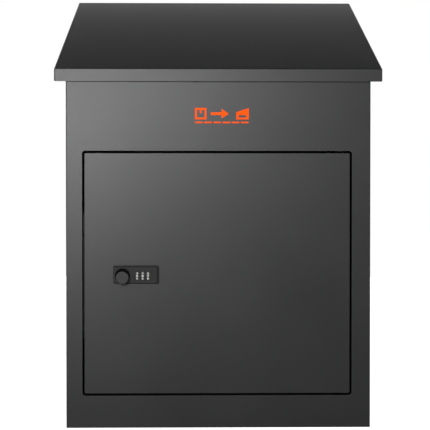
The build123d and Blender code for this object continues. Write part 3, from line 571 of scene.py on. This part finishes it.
# ------------------------------------------------------------------ soft trim
SEAL_ROUND = 2.4 * MM
TRIM_ROUND = 0.7 * MM
RIB_PITCH = 6.0 * MM
RIB_HEIGHT = 1.1 * MM
RIB_STEPS = 8
RIB_FULLNESS = 0.6
ANCHOR_CLEARANCE = 1.0 * MM
DRILL_LENGTH = 20.0 * MM
# Shares of a rubber stop's radius, and of its height for the foot and the crown.
STOP_NECK = 0.92
STOP_WAIST = 0.90
STOP_TIP = 0.02
STOP_FOOT = 0.30
STOP_CROWN = 0.35
BODY_OF = {node: body for body, nodes in frame["record"]["behaviour"]["bodies"].items() for node in nodes}


def soft_piece(name, mesh, node, smooth=True):
    """Piece that stands for a plain soft solid of the CAD model."""
    piece = new_piece(name, mesh, BODY_OF[node], MATERIALS[slots[node]], smooth)
    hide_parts(node)
    return piece


def rubber_stop(low, high, axis):
    """Domed stop with a foot, between the two ends of its box, standing along Y or Z."""
    centre = (low + high) / 2
    along = 1 if axis == "Y" else 2
    radius, height = (high.x - low.x) / 2, high[along] - low[along]
    edge = min(0.25 * height, 0.2 * radius)
    crown = STOP_CROWN * height
    shoulder = height - crown
    profile = [(STOP_TIP * radius, 0.0)]
    profile += arc((radius - edge, edge), edge, -90, 0, 4)
    profile += arc((STOP_NECK * radius - edge, STOP_FOOT * height + edge), edge, -60, 0, 3)
    profile += [(STOP_WAIST * radius, shoulder)]
    for degrees in range(10, 90, 10):
        a = math.radians(degrees)
        profile.append((STOP_WAIST * radius * math.cos(a), shoulder + crown * math.sin(a)))
    profile += [(STOP_TIP * radius, height)]

    def place(across, up, distance):
        if axis == "Z":
            return (centre.x + across, centre.y + up, low.z + distance)
        return (centre.x + across, high.y - distance, centre.z + up)

    return turned("stop", profile, 40, place)


def rubber_stops(node, axis):
    """A stop for each separate solid of a CAD node."""
    return joined([rubber_stop(low, high, axis) for low, high in solid_boxes(node)], "stops")


def ribbed_slab(low, high):
    """Slab between two corners with rounded ribs on top that run from side to side."""
    valley = high.z - RIB_HEIGHT
    count = int((high.y - low.y) / RIB_PITCH)
    start = (low.y + high.y - count * RIB_PITCH) / 2
    crest = [(low.y, valley)]
    for k in range(count * RIB_STEPS + 1):
        wave = 0.5 - 0.5 * math.cos(2 * math.pi * k / RIB_STEPS)
        crest.append((start + k * RIB_PITCH / RIB_STEPS, valley + RIB_HEIGHT * wave ** RIB_FULLNESS))
    crest.append((high.y, valley))
    outline = crest + [(high.y, low.z), (low.y, low.z)]
    build = bmesh.new()
    near, far = ([build.verts.new((x, y, z)) for y, z in outline] for x in (low.x, high.x))
    build.faces.new(near)
    build.faces.new(far)
    for k in range(len(outline)):
        after = (k + 1) % len(outline)
        build.faces.new((near[k], near[after], far[after], far[k]))
    return mesh_from(build, "mat")


def anchor_drill(level):
    """Round cutters over the four anchor bolts."""
    anchors = next(mount for mount in frame["record"]["mounts"] if mount["name"] == "floor_anchors")["dims"]
    radius = 2 * anchors["hole_r_mm"] * MM + ANCHOR_CLEARANCE
    half_x, half_y = anchors["spacing_x_mm"] * MM / 2, anchors["spacing_y_mm"] * MM / 2
    drill = bmesh.new()
    for x in (-half_x, half_x):
        for y in (-half_y, half_y):
            place = Matrix.Translation((x, y, level))
            bmesh.ops.create_cone(drill, cap_ends=True, segments=48, radius1=radius, radius2=radius,
                                  depth=DRILL_LENGTH, matrix=place)
    cutter = bpy.data.objects.new("drill", mesh_from(drill, "drill"))
    bpy.context.scene.collection.objects.link(cutter)
    return cutter


def ribbed_mat():
    """Foam mat on the floor, with four holes over the anchor bolts."""
    low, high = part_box("floor_mat")
    mat = soft_piece("floor_mat_ribbed", ribbed_slab(low, high), "floor_mat", smooth=False)
    cut(mat, anchor_drill(high.z))
    finish_with(mat, MATERIALS["foam"])


soft_piece("lid_seal_strips", softened("lid_seal", SEAL_ROUND, 5), "lid_seal")
soft_piece("baffle_edge_rubber", softened("baffle_edge_trim", TRIM_ROUND, 3), "baffle_edge_trim")
soft_piece("lid_stops", rubber_stops("lid_bumpers", "Z"), "lid_bumpers")
soft_piece("door_stops", rubber_stops("keeper_bumpers", "Y"), "keeper_bumpers")
ribbed_mat()


# ------------------------------------------------------------------ stage, light and camera
def stage():
    """White floor, and a world that is white to the camera and dim to everything else."""
    bpy.ops.mesh.primitive_plane_add(size=16.0, location=(0, 0, cad_low.z))
    floor = bpy.context.object
    floor.name = "floor"
    finish_with(floor, pale_floor())
    floor.visible_glossy = False

    world = bpy.data.worlds.new("studio")
    bpy.context.scene.world = world
    world.use_nodes = True
    nodes, links = world.node_tree.nodes, world.node_tree.links
    nodes["Background"].inputs["Color"].default_value = (0.9, 0.93, 1.0, 1.0)
    nodes["Background"].inputs["Strength"].default_value = WORLD_GLOW
    seen = nodes.new("ShaderNodeBackground")
    seen.inputs["Color"].default_value = (1, 1, 1, 1)
    seen.inputs["Strength"].default_value = 1.0
    path = nodes.new("ShaderNodeLightPath")
    mix = nodes.new("ShaderNodeMixShader")
    links.new(path.outputs["Is Camera Ray"], mix.inputs["Fac"])
    links.new(nodes["Background"].outputs[0], mix.inputs[1])
    links.new(seen.outputs[0], mix.inputs[2])
    links.new(mix.outputs[0], nodes["World Output"].inputs["Surface"])


def softbox(name, at, target, width, height, power):
    """Rectangular area light that faces the target."""
    light = bpy.data.lights.new(name, "AREA")
    light.shape = "RECTANGLE"
    light.size, light.size_y = width, height
    light.energy = power
    obj = bpy.data.objects.new(name, light)
    obj.location = at
    obj.rotation_euler = (Vector(target) - Vector(at)).to_track_quat("-Z", "Y").to_euler()
    obj.visible_camera = False
    bpy.context.scene.collection.objects.link(obj)


def lights():
    """Four small key lights from low left to high right, a strip behind the lid and fills all round."""
    high_left, top_centre = (-0.15, cad_low.y, 0.42), (-0.05, cad_low.y, 0.42)
    top_right, low_left = (0.10, cad_low.y, 0.42), (-0.15, cad_low.y, 0.30)
    behind_lid = (0, cad_high.y - 0.02, cad_high.z - 0.01)
    middle, upper = (0, 0, 0.3), (0, 0, 0.5)
    for name, at, target, width, height, power in (
        ("key_low", (-0.42, -1.3, 0.52), high_left, 0.25, 0.25, 5.0),
        ("key_middle", (-0.15, -1.6, 0.68), top_centre, 0.3, 0.3, 5.1),
        ("key_foot", (-0.50, -1.3, 0.30), low_left, 0.3, 0.3, 1.2),
        ("key_right", (0.30, -2.3, 0.80), top_right, 0.3, 0.3, 2.0),
        ("lid_strip", (0.0, 0.46, 0.77), behind_lid, 0.9, 0.09, 0.53),
        ("left_fill", (-2.4, -0.2, 0.9), middle, 1.2, 1.6, 24.0),
        ("right_fill", (2.4, -0.4, 0.9), middle, 1.2, 1.6, 18.0),
        ("top_fill", (-1.4, 0.3, 2.0), upper, 1.4, 1.4, 4.5),
        ("rear_fill", (0.3, 2.8, 0.45), middle, 2.0, 0.8, 16.0),
    ):
        softbox(name, at, target, width, height, power)


def camera():
    """Nearly level camera in front of the box, a little to the left of its middle."""
    data = bpy.data.cameras.new("camera")
    data.lens = LENS
    data.sensor_width = SENSOR
    obj = bpy.data.objects.new("camera", data)
    obj.location = CAMERA_AT
    obj.rotation_euler = (CAMERA_TARGET - CAMERA_AT).to_track_quat("-Z", "Y").to_euler()
    bpy.context.scene.collection.objects.link(obj)
    bpy.context.scene.camera = obj
    bpy.context.scene.view_settings.view_transform = "Standard"


stage()
lights()
camera()
